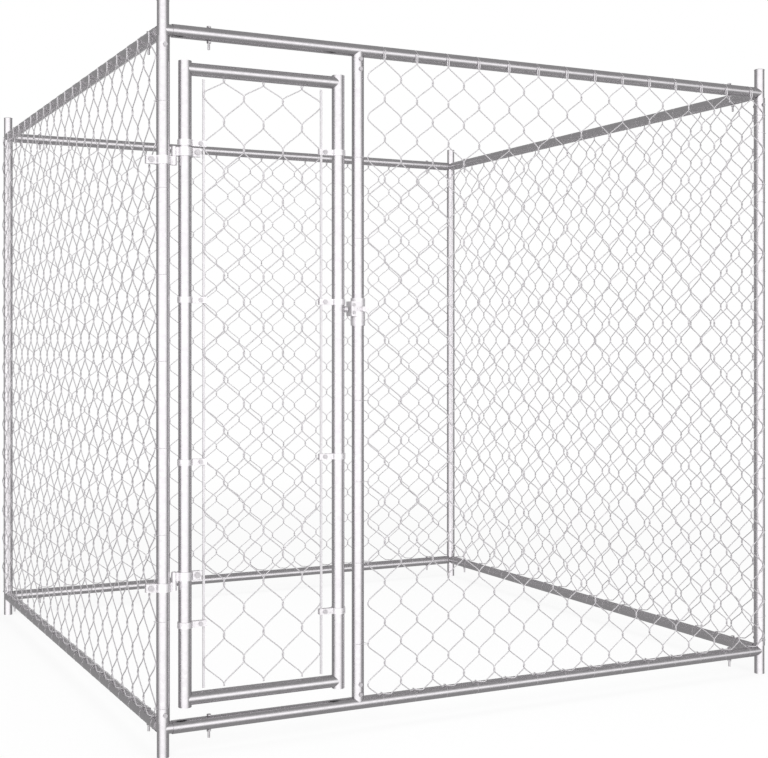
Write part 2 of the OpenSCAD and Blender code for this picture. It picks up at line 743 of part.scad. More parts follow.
module fitting_bottom_front_right() bottom_fitting(1, -1);

module fitting_bottom_rear_left() bottom_fitting(-1, 1);

module fitting_bottom_rear_right() bottom_fitting(1, 1);

module rail_top_front() color("gainsboro") on_front(top_rail_z) jamb_rail(-1);

module rail_top_rear() color("gainsboro") on_rear(top_rail_z) plain_rail();

module rail_top_left() color("gainsboro") on_left(top_rail_z) plain_rail();

module rail_top_right() color("gainsboro") on_right(top_rail_z) plain_rail();

module rail_bottom_front() color("gainsboro") on_front(bottom_rail_z) jamb_rail(1);

module rail_bottom_rear() color("gainsboro") on_rear(bottom_rail_z) plain_rail();

module rail_bottom_left() color("gainsboro") on_left(bottom_rail_z) plain_rail();

module rail_bottom_right() color("gainsboro") on_right(bottom_rail_z) plain_rail();

// the right panel starts half a diamond on, so that no two edges meet a corner post in one row
module side_fabric(out, p)
  translate([edge_in, out * mesh_out, 0]) fabric(side_cols, rows, p, side_col_w, row_h, row_h);

module mesh_front()
  on_front(mesh_z0)
    translate([front_x0 + a, -mesh_out, 0]) fabric(front_cols, rows, 0, front_col_w, row_h, row_h);

module mesh_rear() on_rear(mesh_z0) side_fabric(1, 0);

module mesh_left() on_left(mesh_z0) side_fabric(1, 0);

module mesh_right() on_right(mesh_z0) side_fabric(-1, 1);

// the ties on the jamb post are clear of its bolts and of the latch
module ties_front()
  on_front(0) {
    rail_ties(front_x0 + a, front_cols, 0, front_col_w, -1);
    post_ties(jamb_x + a, slim_d, atan2(jamb_wire[1], jamb_wire[0]), jamb_reach, 3,
      concat([[latch_z - case_drop, latch_z - case_drop + case_h]],
        [for (z = jamb_bolt_zs) [z - bolt_af, z + bolt_af]]));
    post_ties(post_pitch, tube_d, -90, tie_reach, 3, []);
  }

module ties_rear() on_rear(0) side_ties(1, 0, 1, 4, []);

module ties_left()
  on_left(0) side_ties(1, 0, 1, 2, [for (z = hinge_zs) [z - hinge_step - hinge_h, z]]);

module ties_right() on_right(0) side_ties(-1, 1, 2, 1, []);

module upper_post_hinge() post_hinge(hinge_zs[1]);

module lower_post_hinge() post_hinge(hinge_zs[0]);

module upper_gate_hinge() gate_hinge(hinge_zs[1]);

module lower_gate_hinge() gate_hinge(hinge_zs[0]);

module hinge_stile() stile(hinge_stile_x);

module latch_stile() stile(latch_stile_x);

module door_top_rail() door_rail(door_rail_zs[1]);

module door_bottom_rail() door_rail(door_rail_zs[0]);

module hinge_side_bands() bands(hinge_stile_x, 0);

module latch_side_bands() bands(latch_stile_x, 180);

post_front_left();
post_front_right();
post_rear_left();
post_rear_right();
fitting_top_front_left();
fitting_top_front_right();
fitting_top_rear_left();
fitting_top_rear_right();
fitting_bottom_front_left();
fitting_bottom_front_right();
fitting_bottom_rear_left();
fitting_bottom_rear_right();
post_caps();
rail_top_front();
rail_top_rear();
rail_top_left();
rail_top_right();
rail_bottom_front();
rail_bottom_rear();
rail_bottom_left();
rail_bottom_right();
jamb_post();
frame_bolts();
frame_nuts();
mesh_front();
mesh_rear();
mesh_left();
mesh_right();
ties_front();
ties_rear();
ties_left();
ties_right();
upper_post_hinge();
lower_post_hinge();
post_hinge_bolts();
post_hinge_nuts();
latch_case();
latch_screws();
latch_bolt();
hinge_stile();
latch_stile();
door_top_rail();
door_bottom_rail();
door_mesh();
hinge_side_bar();
latch_side_bar();
hinge_side_bands();
latch_side_bands();
band_bolts();
band_nuts();
upper_gate_hinge();
lower_gate_hinge();
gate_hinge_bolts();
gate_hinge_nuts();
strike_ring();
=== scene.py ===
import math

import bpy
from mathutils import Matrix, Vector


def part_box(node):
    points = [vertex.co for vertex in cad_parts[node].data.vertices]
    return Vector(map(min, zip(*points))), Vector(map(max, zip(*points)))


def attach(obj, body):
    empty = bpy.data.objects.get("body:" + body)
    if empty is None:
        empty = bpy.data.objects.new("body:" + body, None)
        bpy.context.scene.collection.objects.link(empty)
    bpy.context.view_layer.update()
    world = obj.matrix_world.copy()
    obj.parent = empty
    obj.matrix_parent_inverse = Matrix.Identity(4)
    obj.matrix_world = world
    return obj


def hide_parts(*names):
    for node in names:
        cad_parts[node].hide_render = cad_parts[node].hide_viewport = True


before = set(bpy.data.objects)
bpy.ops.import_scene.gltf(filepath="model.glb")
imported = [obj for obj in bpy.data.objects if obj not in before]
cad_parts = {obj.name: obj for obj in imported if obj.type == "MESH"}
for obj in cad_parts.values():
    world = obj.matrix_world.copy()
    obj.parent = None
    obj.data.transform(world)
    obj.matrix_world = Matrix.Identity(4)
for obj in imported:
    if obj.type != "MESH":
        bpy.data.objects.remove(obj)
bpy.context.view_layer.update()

MM = 0.001


def middle(node):
    """Middle of a CAD node's box."""
    low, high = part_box(node)
    return (Vector(low) + Vector(high)) / 2


def half_width(node):
    """Half the width of a CAD node's box along X."""
    low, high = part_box(node)
    return (high[0] - low[0]) / 2


# Places of the tubes, from the frame
HALF = middle("post_front_right").x
RAIL_HEIGHTS = (middle("rail_bottom_rear").z, middle("rail_top_rear").z)
JAMB = middle("jamb_post").x
HINGE_STILE, LATCH_STILE = middle("hinge_stile").x, middle("latch_stile").x
TUBE_R, SLIM_R = half_width("post_front_right"), half_width("jamb_post")

# Chain-link wire: its radius, how far it hooks past the line between two wires, and how far its two layers
# lie from the middle of the fabric
WIRE_R, HOOK, LAYER = 1.5 * MM, 1.8 * MM, 1.5 * MM
# its swing from side to side is stretched this much and cut off again, so that it rests at each bend
KNUCKLE = 1.4

# Panels: they lie outside the tubes, a little further out than the solids, whose wire is thinner.
# An edge stands just inside the axis of a corner post, or beside the jamb post
MESH_LOW, MESH_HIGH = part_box("mesh_rear")[0][2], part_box("mesh_rear")[1][2]
THICKER = 0.4 * MM
MESH_OUT = middle("mesh_rear").y - HALF + THICKER
MESH_ROWS, SIDE_COLUMNS, FRONT_COLUMNS = 32, 39, 28
EDGE_IN, JAMB_EDGE = 1.3 * MM, 21.3 * MM
SIDE_SPAN = 2 * (HALF - EDGE_IN)
FRONT_SPAN = HALF - EDGE_IN - JAMB - JAMB_EDGE
# the top row ends at the lower edge of the top rail, and the wire ends stand up on the rail
ROW_HEIGHT = (RAIL_HEIGHTS[1] - TUBE_R - MESH_LOW) / MESH_ROWS
HEAD = MESH_HIGH - MESH_LOW - MESH_ROWS * ROW_HEIGHT
# at the bottom the wires are laid over the rail, just clear of it
REST_GAP = 0.2 * MM
FOLD = RAIL_HEIGHTS[0] + TUBE_R + REST_GAP + WIRE_R - MESH_LOW

# Fabric of the door, in the plane of its stiles: its top row is cut short, and its edges are on tension bars
DOOR_MESH_LOW, DOOR_MESH_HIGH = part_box("door_mesh")[0][2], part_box("door_mesh")[1][2]
DOOR_ROWS, DOOR_COLUMNS = 24, 6
DOOR_TOP_ROW, DOOR_HEAD = 40 * MM, 3 * MM
BAR_AT = 49 * MM
DOOR_ROW_HEIGHT = (DOOR_MESH_HIGH - DOOR_HEAD - DOOR_TOP_ROW - DOOR_MESH_LOW) / (DOOR_ROWS - 1)
DOOR_SPAN = LATCH_STILE - HINGE_STILE - 2 * BAR_AT

# Wire ties: one turn of thin wire round the tube, drawn out to a nose over the mesh
TIE_R, TIE_NOSE, TIE_POINTS = 0.45 * MM, 4 * MM, 16
TIE_REACH = MESH_OUT + LAYER + WIRE_R + TIE_R
FOLD_REACH = TUBE_R + REST_GAP + 2 * WIRE_R + TIE_R

# Thumb plate: its ends from the jamb post's axis, half its height, its thickness and its gap to the case
PLATE_LEFT, PLATE_RIGHT = -11 * MM, 23 * MM
PLATE_R, PLATE_T, PLATE_GAP = 4.2 * MM, 1.3 * MM, 0.15 * MM
PLATE_STEPS = 8


def add(tree, kind, settings=None, inputs=None):
    """Adds one node: settings are its properties, inputs its values or the sockets that feed them."""
    node = tree.nodes.new(kind)
    for key, value in (settings or {}).items():
        setattr(node, key, value)
    for key, value in (inputs or {}).items():
        if isinstance(value, bpy.types.NodeSocket):
            tree.links.new(value, node.inputs[key])
        else:
            node.inputs[key].default_value = value
    return node


def linear(hex_code):
    """An sRGB hex colour as linear RGBA."""
    parts = [int(hex_code[k:k + 2], 16) / 255 for k in (1, 3, 5)]
    return tuple(c / 12.92 if c <= 0.04045 else ((c + 0.055) / 1.055) ** 2.4 for c in parts) + (1.0,)


# Materials

WHITE = linear("#ffffff")
# Zinc: the width of its weathered patches and of its grain, which is coarser than the real one so that it
# shows, the depth of the grain, its scale along a rolled tube, and the share of colour that the crystals set
PATCH_MM, GRAIN_MM, GRAIN_DEPTH = 140, 1.6, 0.3 * MM
ROLLED, CRYSTAL_SHARE = 0.04, 0.45


def zinc(name, pale, dark, spangle_mm, rough, bump, streak=None, metal=1.0):
    """Zinc-coated steel: crystal spangle a few millimetres wide, cloudy patches and a fine grain.
    streak is the axis along which rolling has drawn the grain out, for tube, and metal is the share that
    the pale bloom of weathered zinc leaves bare."""
    material = bpy.data.materials.new(name)
    material.use_nodes = True
    tree = material.node_tree
    shader = tree.nodes["Principled BSDF"]
    shader.inputs["Metallic"].default_value = metal
    place = add(tree, "ShaderNodeTexCoord")
    spangle = add(tree, "ShaderNodeTexVoronoi", {"feature": "F1"},
                  {"Vector": place.outputs["Object"], "Scale": 1000 / spangle_mm, "Randomness": 1.0})
    cell = add(tree, "ShaderNodeSeparateColor", None, {"Color": spangle.outputs["Color"]})
    cloud = add(tree, "ShaderNodeTexNoise", None,
                {"Vector": place.outputs["Object"], "Scale": 1000 / PATCH_MM, "Detail": 3.0,
                 "Roughness": 0.6})
    crystal = add(tree, "ShaderNodeMath", {"operation": "MULTIPLY"},
                  {0: cell.outputs["Red"], 1: CRYSTAL_SHARE})
    blend = add(tree, "ShaderNodeMath", {"operation": "MULTIPLY_ADD", "use_clamp": True},
                {0: cloud.outputs["Fac"], 1: 1 - CRYSTAL_SHARE, 2: crystal.outputs["Value"]})
    colour = add(tree, "ShaderNodeMix", {"data_type": "RGBA"},
                 {"Factor": blend.outputs["Value"], "A": linear(dark), "B": linear(pale)})
    tree.links.new(colour.outputs["Result"], shader.inputs["Base Color"])
    dull = add(tree, "ShaderNodeMapRange", None,
               {"Value": cell.outputs["Green"], "To Min": rough - 0.03, "To Max": rough + 0.04})
    tree.links.new(dull.outputs["Result"], shader.inputs["Roughness"])
    stretch = add(tree, "ShaderNodeMapping", None, {"Vector": place.outputs["Object"]})
    if streak:
        stretch.inputs["Scale"].default_value = tuple(ROLLED if axis == streak else 1.0 for axis in "XYZ")
    grain = add(tree, "ShaderNodeTexNoise", None,
                {"Vector": stretch.outputs["Vector"], "Scale": 1000 / GRAIN_MM, "Detail": 2.0})
    relief = add(tree, "ShaderNodeBump", None,
                 {"Strength": bump, "Distance": GRAIN_DEPTH, "Height": grain.outputs["Fac"]})
    tree.links.new(relief.outputs["Normal"], shader.inputs["Normal"])
    return material


# Pre-galvanised tube: rolled strip, so the grain runs lengthwise and the zinc is bright and even
TUBE_LOOK = ("#dddadd", "#d1ced1", 9, 0.26, 0.015)
tube_upright = zinc("galvanised_tube_upright", *TUBE_LOOK, "Z")
tube_across = zinc("galvanised_tube_across", *TUBE_LOOK, "X")
tube_deep = zinc("galvanised_tube_deep", *TUBE_LOOK, "Y")
# Hot-dipped clamps, bands and latch: thicker zinc, pale with bloom, with larger crystals and a pebbled skin
casting = zinc("hot_dip_galvanised_casting", "#f0edf0", "#e0dde0", 12, 0.36, 0.10, metal=0.7)
# Drawn and galvanised wire: smooth and even, and pale with bloom
wire_zinc = zinc("galvanised_drawn_wire", "#dad7da", "#cac7ca", 6, 0.38, 0.03, metal=0.5)
# Zinc-plated bolts and nuts: darker, finer coating
plated = zinc("zinc_plated_fastener", "#d2cfd2", "#b4b1b4", 4, 0.32, 0.15)

UPRIGHT = ("post_front", "post_rear", "post_caps", "fitting", "jamb_post", "hinge_stile", "latch_stile")
ACROSS = ("rail_top_front", "rail_top_rear", "rail_bottom_front", "rail_bottom_rear",
          "door_top_rail", "door_bottom_rail")
DEEP = ("rail_top_left", "rail_top_right", "rail_bottom_left", "rail_bottom_right")


def finish_of(node):
    """Finish of a CAD node, by its name."""
    if node.endswith(("bolts", "nuts", "screws")):
        return plated
    if node.endswith("side_bar"):
        return wire_zinc
    for names, finish in ((UPRIGHT, tube_upright), (ACROSS, tube_across), (DEEP, tube_deep)):
        if node.startswith(names):
            return finish
    return casting


for name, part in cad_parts.items():
    part.data.materials.clear()
    part.data.materials.append(finish_of(name))


# Growing pieces with Geometry Nodes

def new_tree(name, sizes):
    """An empty node tree with named sizes, a geometry input and a geometry output."""
    tree = bpy.data.node_groups.new(name, "GeometryNodeTree")
    tree.interface.new_socket(name="Geometry", in_out="INPUT", socket_type="NodeSocketGeometry")
    for size, kind in sizes:
        tree.interface.new_socket(name=size, in_out="INPUT", socket_type="NodeSocket" + kind)
    tree.interface.new_socket(name="Geometry", in_out="OUTPUT", socket_type="NodeSocketGeometry")
    return tree, add(tree, "NodeGroupInput").outputs


def grown(name, tree, sizes, base=None, place=None):
    """Runs a node tree once on a base mesh and keeps its result as a plain mesh at the place given."""
    piece = bpy.data.objects.new(name, base or bpy.data.meshes.new(name))
    bpy.context.scene.collection.objects.link(piece)
    growth = piece.modifiers.new("grow", "NODES")
    growth.node_group = tree
    for item in tree.interface.items_tree:
        if item.in_out == "INPUT" and item.name in sizes:
            growth[item.identifier] = sizes[item.name]
    evaluated = piece.evaluated_get(bpy.context.evaluated_depsgraph_get())
    mesh = bpy.data.meshes.new_from_object(evaluated)
    piece.modifiers.clear()
    piece.data = mesh
    mesh.name = name
    if place:
        mesh.transform(place)
    mesh.shade_smooth()
    return piece


# Chain-link: each wire is a flattened spiral that hooks round its neighbours at every bend

def fabric_tree():
    """Wires side by side: straight lines laid out by column, then bent by row into linked spirals."""
    tree, given = new_tree("chain_link_fabric", (
        ("Columns", "Int"), ("Rows", "Int"), ("Column Width", "Float"), ("Row Height", "Float"),
        ("Top Row", "Float"), ("Head", "Float"), ("Fold", "Float"), ("Fold Way", "Float"), ("Phase", "Int"),
        ("Hook", "Float"), ("Layer", "Float"), ("Knuckle", "Float"), ("Wire Radius", "Float"),
        ("Flat Edges", "Float")))
    column = add(tree, "GeometryNodeInputNamedAttribute", {"data_type": "FLOAT"}, {"Name": "column"})
    spot = add(tree, "GeometryNodeInputPosition")
    split = add(tree, "ShaderNodeSeparateXYZ", None, {"Vector": spot.outputs["Position"]})
    known = {socket.name: socket for socket in given}
    known.update(column=column.outputs["Attribute"], unit=split.outputs["Z"])

    # each sum is a name, an operation and its values, which may be the names of sums before it
    for name, operation, *values in (
            # a wire has a unit of length for each row and one for its end, and ten points for each unit
            ("units", "ADD", "Rows", 1.0),
            ("points", "MULTIPLY_ADD", "units", 10.0, 1.0),
            # past the last row the wire's end stands straight up
            ("row", "MINIMUM", "unit", "Rows"),
            ("past", "SUBTRACT", "unit", "row"),
            # the last row may be cut short
            ("plain rows", "SUBTRACT", "Rows", 1.0),
            ("full rows", "MINIMUM", "row", "plain rows"),
            ("cut row", "SUBTRACT", "row", "full rows"),
            ("full height", "MULTIPLY", "full rows", "Row Height"),
            ("bent height", "MULTIPLY_ADD", "cut row", "Top Row", "full height"),
            ("stood height", "MULTIPLY_ADD", "past", "Head", "bent height"),
            # what lies lower than the fold is laid flat on the bottom rail
            ("under", "SUBTRACT", "Fold", "stood height"),
            ("folded", "MAXIMUM", "under", 0.0),
            ("height", "ADD", "stood height", "folded"),
            # inner is 0 near both ends, where each wire keeps to its own layer, and 1 elsewhere
            ("to top", "SUBTRACT", "Rows", "row"),
            ("to end", "MINIMUM", "row", "to top"),
            ("inner slope", "MULTIPLY_ADD", "to end", 3.0, -0.8),
            ("inner floor", "MAXIMUM", "inner slope", 0.0),
            ("inner", "MINIMUM", "inner floor", 1.0),
            # bend goes from 0 at the right to 1 at the left, and rests at each end, where wires hook,
            # with its corners rounded
            ("start", "ADD", "column", "Phase"),
            ("turns", "ADD", "start", "row"),
            ("swing", "PINGPONG", "turns", 1.0),
            ("centred", "SUBTRACT", "swing", 0.5),
            ("wide bend", "MULTIPLY_ADD", "centred", "Knuckle", 0.5),
            ("low bend", "SMOOTH_MAX", "wide bend", 0.0, 0.3),
            ("bend", "SMOOTH_MIN", "low bend", 1.0, 0.3),
            ("width", "MULTIPLY_ADD", "Hook", 2.0, "Column Width"),
            ("right", "ADD", "Column Width", "Hook"),
            ("right side", "MULTIPLY_ADD", "column", "Column Width", "right"),
            ("back", "MULTIPLY", "bend", "width"),
            ("along", "SUBTRACT", "right side", "back"),
            # a strand that climbs to the left lies behind, one that climbs to the right in front
            ("last row", "SUBTRACT", "Rows", 0.02),
            ("above foot", "MAXIMUM", "row", 0.02),
            ("below head", "MINIMUM", "above foot", "last row"),
            ("strand", "ADD", "start", "below head"),
            ("angle", "MULTIPLY", "strand", math.pi),
            ("wave", "SINE", "angle"),
            # it changes sides gently at a hook, with a gain of 3, and at once at a wire's end, with 60
            ("gain", "MULTIPLY_ADD", "inner", -57.0, 60.0),
            ("steep", "MULTIPLY", "wave", "gain"),
            ("not above", "MINIMUM", "steep", 1.0),
            ("side", "MAXIMUM", "not above", -1.0),
            # the outer strands of a fabric held by tension bars stay flat within a seventh of a column
            # of the bar, and turn flat over the seventh before that
            ("first", "LESS_THAN", "column", 0.5),
            ("left slope", "MULTIPLY_ADD", "bend", 7.0, -5.0),
            ("left floor", "MAXIMUM", "left slope", 0.0),
            ("near first", "MINIMUM", "left floor", "Flat Edges"),
            ("flat first", "MULTIPLY", "first", "near first"),
            ("to front", "SUBTRACT", -1.0, "side"),
            ("first side", "MULTIPLY_ADD", "to front", "flat first", "side"),
            ("before last", "SUBTRACT", "Columns", 1.5),
            ("last", "GREATER_THAN", "column", "before last"),
            ("right slope", "MULTIPLY_ADD", "bend", -7.0, 2.0),
            ("right floor", "MAXIMUM", "right slope", 0.0),
            ("near last", "MINIMUM", "right floor", "Flat Edges"),
            ("flat last", "MULTIPLY", "last", "near last"),
            ("to back", "SUBTRACT", 1.0, "first side"),
            ("last side", "MULTIPLY_ADD", "to back", "flat last", "first side"),
            ("layer", "MULTIPLY", "last side", "Layer"),
            ("depth", "MULTIPLY_ADD", "folded", "Fold Way", "layer")):
        node = add(tree, "ShaderNodeMath", {"operation": operation},
                   {k: known.get(value, value) for k, value in enumerate(values)})
        known[name] = node.outputs["Value"]

    # one straight wire for each column
    top = add(tree, "ShaderNodeCombineXYZ", None, {"Z": known["units"]})
    straight = add(tree, "GeometryNodeCurvePrimitiveLine", None, {"End": top.outputs["Vector"]})
    points = add(tree, "GeometryNodeResampleCurve", None,
                 {"Curve": straight.outputs["Curve"], "Count": known["points"]})
    columns = add(tree, "GeometryNodeMeshLine", None,
                  {"Count": given["Columns"], "Offset": (0.0, 0.0, 0.0)})
    laid = add(tree, "GeometryNodeInstanceOnPoints", None,
               {"Points": columns.outputs["Mesh"], "Instance": points.outputs["Curve"]})
    index = add(tree, "GeometryNodeInputIndex")
    marked = add(tree, "GeometryNodeStoreNamedAttribute", {"data_type": "FLOAT", "domain": "INSTANCE"},
                 {"Geometry": laid.outputs["Instances"], "Name": "column", "Value": index.outputs["Index"]})
    real = add(tree, "GeometryNodeRealizeInstances", None, {"Geometry": marked.outputs["Geometry"]})
    bent_to = add(tree, "ShaderNodeCombineXYZ", None,
                  {"X": known["along"], "Y": known["depth"], "Z": known["height"]})
    bent = add(tree, "GeometryNodeSetPosition", None,
               {"Geometry": real.outputs["Geometry"], "Position": bent_to.outputs["Vector"]})
    section = add(tree, "GeometryNodeCurvePrimitiveCircle", None,
                  {"Resolution": 6, "Radius": given["Wire Radius"]})
    wires = add(tree, "GeometryNodeCurveToMesh", None,
                {"Curve": bent.outputs["Geometry"], "Profile Curve": section.outputs["Curve"],
                 "Fill Caps": True})
    finished = add(tree, "GeometryNodeSetMaterial", None,
                   {"Geometry": wires.outputs["Mesh"], "Material": wire_zinc})
    add(tree, "NodeGroupOutput", None, {"Geometry": finished.outputs["Geometry"]})
    return tree


def ties_tree():
    """Rings of wire on the points given, each drawn out to a nose over the mesh. A point carries the way
    of its nose, the way across it, the ring's radius and the reach of its flattened nose."""
    tree, given = new_tree("wire_ties", (
        ("Ring Points", "Int"), ("Nose", "Float"), ("Wire Radius", "Float")))
    known = {socket.name: socket for socket in given}
    for name, kind in (("centre", "FLOAT_VECTOR"), ("way", "FLOAT_VECTOR"), ("across", "FLOAT_VECTOR"),
                       ("radius of ring", "FLOAT"), ("reach", "FLOAT")):
        value = add(tree, "GeometryNodeInputNamedAttribute", {"data_type": kind}, {"Name": name})
        known[name] = value.outputs["Attribute"]
    known["index"] = add(tree, "GeometryNodeSplineParameter").outputs["Index"]
    for name, operation, *values in (
            # points crowd toward the nose
            ("half", "MULTIPLY", "Ring Points", 0.5),
            ("step", "DIVIDE", "index", "half"),
            ("round", "SUBTRACT", "step", 1.0),
            ("side", "SIGN", "round"),
            ("size", "ABSOLUTE", "round"),
            ("crowded", "POWER", "size", 1.8),
            ("turn", "MULTIPLY", "crowded", math.pi),
            # the nose runs off the ring along its tangents and is cut flat at the reach
            ("tip", "ADD", "reach", "Nose"),
            ("slope", "DIVIDE", "radius of ring", "tip"),
            ("tangent", "ARCCOSINE", "slope"),
            ("before tangent", "SUBTRACT", "tangent", "turn"),
            ("lean", "MAXIMUM", "before tangent", 0.0),
            ("lean cosine", "COSINE", "lean"),
            ("distance", "DIVIDE", "radius of ring", "lean cosine"),
            ("turn cosine", "COSINE", "turn"),
            ("turn sine", "SINE", "turn"),
            ("far", "MULTIPLY", "distance", "turn cosine"),
            ("out", "MINIMUM", "far", "reach"),
            ("wide", "MULTIPLY", "distance", "turn sine"),
            ("aside", "MULTIPLY", "wide", "side")):
        node = add(tree, "ShaderNodeMath", {"operation": operation},
                   {k: known.get(value, value) for k, value in enumerate(values)})
        known[name] = node.outputs["Value"]

    spot = add(tree, "GeometryNodeInputPosition")
    centred = add(tree, "GeometryNodeStoreNamedAttribute", {"data_type": "FLOAT_VECTOR", "domain": "POINT"},
                  {"Geometry": given["Geometry"], "Name": "centre", "Value": spot.outputs["Position"]})
    ring = add(tree, "GeometryNodeCurvePrimitiveCircle", None, {"Resolution": given["Ring Points"]})
    laid = add(tree, "GeometryNodeInstanceOnPoints", None,
               {"Points": centred.outputs["Geometry"], "Instance": ring.outputs["Curve"]})
    real = add(tree, "GeometryNodeRealizeInstances", None, {"Geometry": laid.outputs["Instances"]})
    outward = add(tree, "ShaderNodeVectorMath", {"operation": "SCALE"},
                  {0: known["way"], "Scale": known["out"]})
    sideways = add(tree, "ShaderNodeVectorMath", {"operation": "MULTIPLY_ADD"},
                   {0: known["across"], 1: known["aside"], 2: outward.outputs["Vector"]})
    place = add(tree, "ShaderNodeVectorMath", {"operation": "ADD"},
                {0: sideways.outputs["Vector"], 1: known["centre"]})
    bent = add(tree, "GeometryNodeSetPosition", None,
               {"Geometry": real.outputs["Geometry"], "Position": place.outputs["Vector"]})
    section = add(tree, "GeometryNodeCurvePrimitiveCircle", None,
                  {"Resolution": 4, "Radius": given["Wire Radius"]})
    wires = add(tree, "GeometryNodeCurveToMesh", None,
                {"Curve": bent.outputs["Geometry"], "Profile Curve": section.outputs["Curve"]})
    finished = add(tree, "GeometryNodeSetMaterial", None,
                   {"Geometry": wires.outputs["Mesh"], "Material": wire_zinc})
    add(tree, "NodeGroupOutput", None, {"Geometry": finished.outputs["Geometry"]})
    return tree


fabric_net, tie_rings = fabric_tree(), ties_tree()


def put_on(piece, body, slot, *nodes):
    """Lets a finished piece stand for CAD nodes on a body."""
    if nodes:
        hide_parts(*nodes)
    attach(piece, body)


def hang_fabric(node, body, sizes, place):
    """Grows a fabric from its own sizes and those that all the fabrics share."""
    shared = {"Hook": HOOK, "Layer": LAYER, "Knuckle": KNUCKLE, "Wire Radius": WIRE_R}
    put_on(grown("linked_" + node, fabric_net, {**sizes, **shared}, place=place), body, "wire", node)


def tie_points(name, ties):
    """A mesh of a point for each ring of wire, with what the ring needs."""
    rows = [(centre, way, across, radius + TIE_R, reach) for centre, way, across, radius, reach in ties]
    mesh = bpy.data.meshes.new(name)
    mesh.from_pydata([row[0] for row in rows], [], [])
    for k, ways in ((1, "way"), (2, "across")):
        mesh.attributes.new(ways, "FLOAT_VECTOR", "POINT").data.foreach_set(
            "vector", [value for row in rows for value in row[k]])
    for k, size in ((3, "radius of ring"), (4, "reach")):
        mesh.attributes.new(size, "FLOAT", "POINT").data.foreach_set("value", [row[k] for row in rows])
    return mesh


UP = Vector((0, 0, 1))
# a corner post has a tie in every fourth row, from the first row given
TIE_ROWS = {first: range(first, MESH_ROWS, 4) for first in (1, 2, 3, 4)}
# rows 19 and 31 of the jamb post are taken up by the latch and a bolt
JAMB_ROWS = (3, 7, 11, 15, 23, 27)


def hang_panel(side, start, turn, out, columns, span, phase, before, first_rows, last_rows):
    """Fabric and ties of a panel that starts at a corner, runs along X or, turned, along Y, and lies on the
    side of out. Its posts stand before its start and past its end, with ties in the rows given."""
    turned = Matrix.Rotation(math.radians(turn), 4, "Z")
    along, outward = turned @ Vector((1, 0, 0)), turned @ Vector((0, out, 0))
    corner = Vector((*start, 0))
    sizes = {"Columns": columns, "Rows": MESH_ROWS, "Column Width": span / columns, "Row Height": ROW_HEIGHT,
             "Top Row": ROW_HEIGHT, "Head": HEAD, "Fold": FOLD, "Fold Way": -float(out), "Phase": phase,
             "Flat Edges": 0.0}
    hang_fabric("mesh_" + side, "frame", sizes,
                Matrix.Translation(corner + MESH_OUT * outward + MESH_LOW * UP) @ turned)

    ties = [(corner + k * span / columns * along + height * UP, way, across, TUBE_R, reach)
            for height, way, across, reach in ((RAIL_HEIGHTS[0], UP, outward, FOLD_REACH),
                                               (RAIL_HEIGHTS[1], outward, UP, TIE_REACH))
            for k in range(1 + phase, columns, 2)]
    radius, reach, way = TUBE_R, TIE_REACH, outward
    if side == "front":
        # the edge wire stands beside the jamb post, so a tie there runs aslant to it
        to_wire = (JAMB_EDGE - EDGE_IN) * along + (MESH_OUT + LAYER) * outward
        radius, reach, way = SLIM_R, to_wire.length + WIRE_R + TIE_R, to_wire.normalized()
    first_post, last_post = corner - before * along, corner + (span + EDGE_IN) * along
    ties += [(first_post + (MESH_LOW + j * ROW_HEIGHT) * UP, way, way.cross(UP), radius, reach)
             for j in first_rows]
    ties += [(last_post + (MESH_LOW + j * ROW_HEIGHT) * UP, outward, along, TUBE_R, TIE_REACH)
             for j in last_rows]
    tied = grown("tied_" + side, tie_rings,
                 {"Ring Points": TIE_POINTS, "Nose": TIE_NOSE, "Wire Radius": TIE_R},
                 tie_points("tie_points_" + side, ties))
    put_on(tied, "frame", "wire", "ties_" + side)


hang_panel("front", (JAMB + JAMB_EDGE, -HALF), 0, -1, FRONT_COLUMNS, FRONT_SPAN, 0,
           JAMB_EDGE, JAMB_ROWS, TIE_ROWS[3])
hang_panel("rear", (-HALF + EDGE_IN, HALF), 0, 1, SIDE_COLUMNS, SIDE_SPAN, 0,
           EDGE_IN, TIE_ROWS[1], TIE_ROWS[4])
hang_panel("left", (-HALF, -HALF + EDGE_IN), 90, 1, SIDE_COLUMNS, SIDE_SPAN, 0,
           EDGE_IN, TIE_ROWS[1], TIE_ROWS[2])
hang_panel("right", (HALF, -HALF + EDGE_IN), 90, -1, SIDE_COLUMNS, SIDE_SPAN, 1,
           EDGE_IN, TIE_ROWS[2], TIE_ROWS[1])
hang_fabric("door_mesh", "door",
            {"Columns": DOOR_COLUMNS, "Rows": DOOR_ROWS, "Column Width": DOOR_SPAN / DOOR_COLUMNS,
             "Row Height": DOOR_ROW_HEIGHT, "Top Row": DOOR_TOP_ROW, "Head": DOOR_HEAD, "Fold": 0.0,
             "Fold Way": 0.0, "Phase": 0, "Flat Edges": 1.0},
            Matrix.Translation((HINGE_STILE + BAR_AT, -HALF, DOOR_MESH_LOW)))


